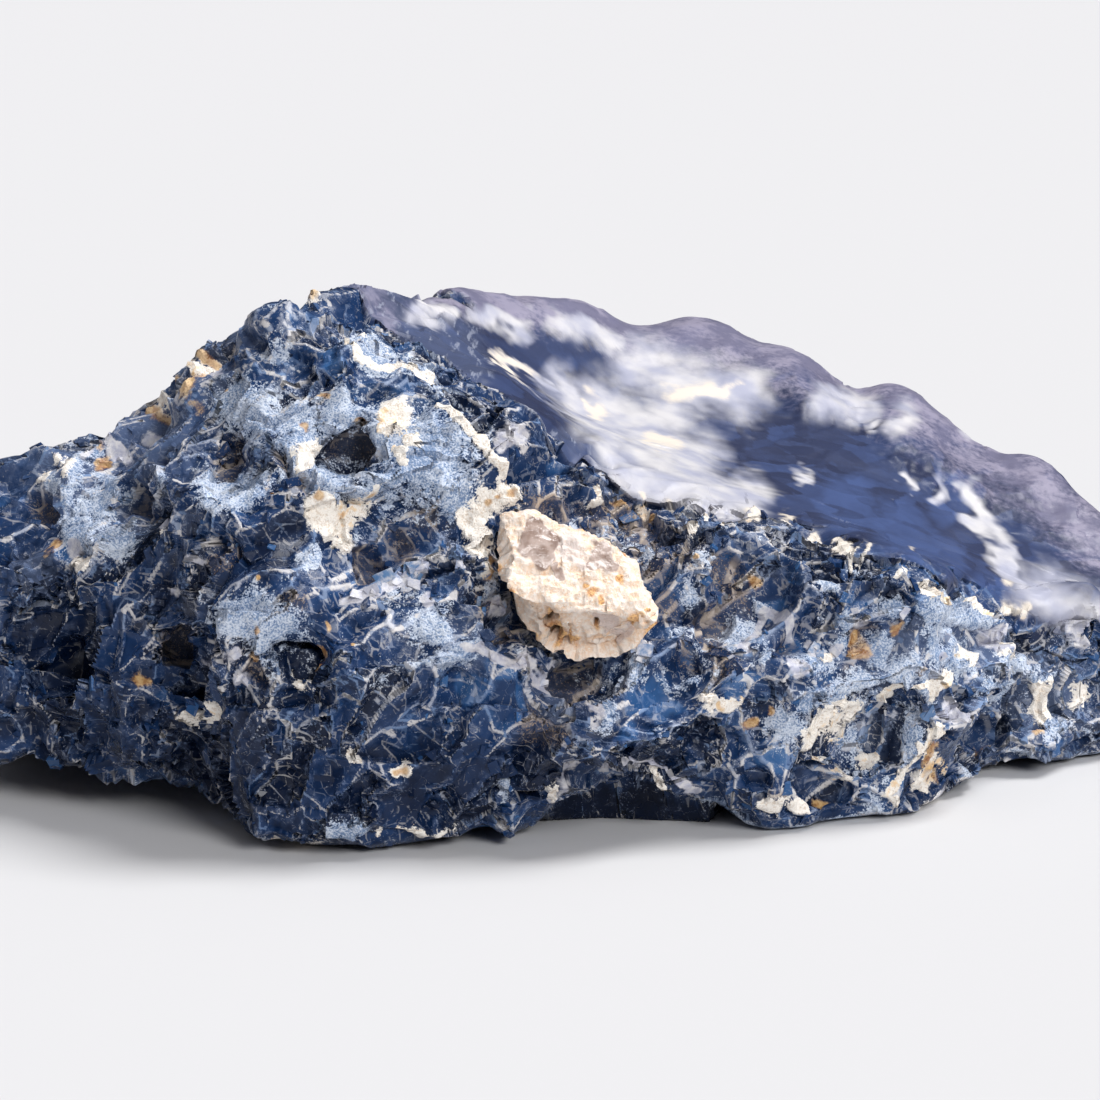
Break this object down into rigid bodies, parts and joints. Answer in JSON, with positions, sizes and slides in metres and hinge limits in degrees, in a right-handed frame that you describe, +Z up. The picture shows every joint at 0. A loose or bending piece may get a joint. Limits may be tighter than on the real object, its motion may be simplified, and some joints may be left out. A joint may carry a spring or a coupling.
{
  "type": "rough blue lace agate",
  "caption": "Rough broken piece of blue chalcedony agate with a glassy chipped front, a worn hollow top with milky streaks and a lodged lump of cream quartz matrix.",
  "frame": {"origin": "on the surface it rests on, under the middle of the bounding box", "axes": "+Z up; +X along the stone, towards its low thin end; +Y away from the broken front face that holds the pale lump"},
  "size_m": [0.0742, 0.0522, 0.0263],
  "materials": {
    "chalcedony": "glassy where chipped, satin and slightly waxy on the worn top",
    "quartz_matrix": "matt and crumbly, with small clear quartz windows"
  },
  "bodies": {
    "root": {"agate": "chalcedony", "matrix_lump": "quartz_matrix"}
  },
  "joints": []
}
